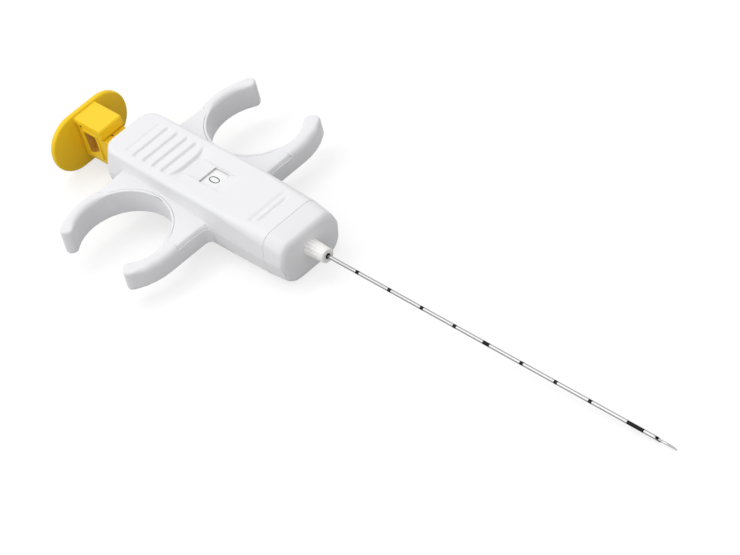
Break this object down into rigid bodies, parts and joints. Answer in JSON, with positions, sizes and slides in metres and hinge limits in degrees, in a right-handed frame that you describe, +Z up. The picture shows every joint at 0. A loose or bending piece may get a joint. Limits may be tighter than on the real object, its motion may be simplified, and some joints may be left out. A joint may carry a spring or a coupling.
{
  "type": "core biopsy instrument",
  "caption": "Spring-fired core biopsy instrument: white two-shell handle with C-shaped finger rests, yellow thumb plunger and a long graduated needle.",
  "frame": {"origin": "Middle of the flat belly of the handle, on its outer face", "axes": "+X along the needle towards its tip, +Y towards the left finger rest seen from behind, +Z up out of the top face with the window"},
  "size_m": [0.1854, 0.0612, 0.0163],
  "materials": {
    "white_plastic": "satin moulded white plastic",
    "hub_plastic": "satin moulded white plastic, slightly warm",
    "yellow_plastic": "semi-gloss moulded yellow plastic",
    "natural_plastic": "unpigmented moulded plastic",
    "label_white": "white printed strip with a dark digit",
    "steel": "drawn stainless steel",
    "spring_steel": "drawn spring wire",
    "rubber": "matt black rubber"
  },
  "bodies": {
    "handle": {"lower_shell": "white_plastic", "upper_shell": "white_plastic", "nose_cap": "white_plastic", "needle_hub": "hub_plastic", "front_bush": "natural_plastic", "spring_seat": "natural_plastic", "support_tube": "steel", "catch_rail_left": "steel", "catch_rail_right": "steel", "buffer_ring": "rubber", "stop_pin": "steel"},
    "needle_drive": {"carriage": "natural_plastic", "cannula": "steel", "cannula_ferrule": "natural_plastic", "number_strip": "label_white", "spring_washer": "steel", "firing_spring": "spring_steel"},
    "plunger": {"plunger_shaft": "yellow_plastic", "thumb_pad": "yellow_plastic", "stylet": "steel", "stylet_holder": "natural_plastic"}
  },
  "joints": [
    {"name": "needle_drive_slide", "type": "slide", "parent": "handle", "child": "needle_drive", "axis": [1, 0, 0], "range_m": [-0.02, 0], "stiffness_N_per_m": 150, "springref_m": 0.015, "deforming": ["firing_spring"]},
    {"name": "plunger_slide", "type": "slide", "parent": "handle", "child": "plunger", "axis": [1, 0, 0], "range_m": [-0.02, 0]}
  ]
}
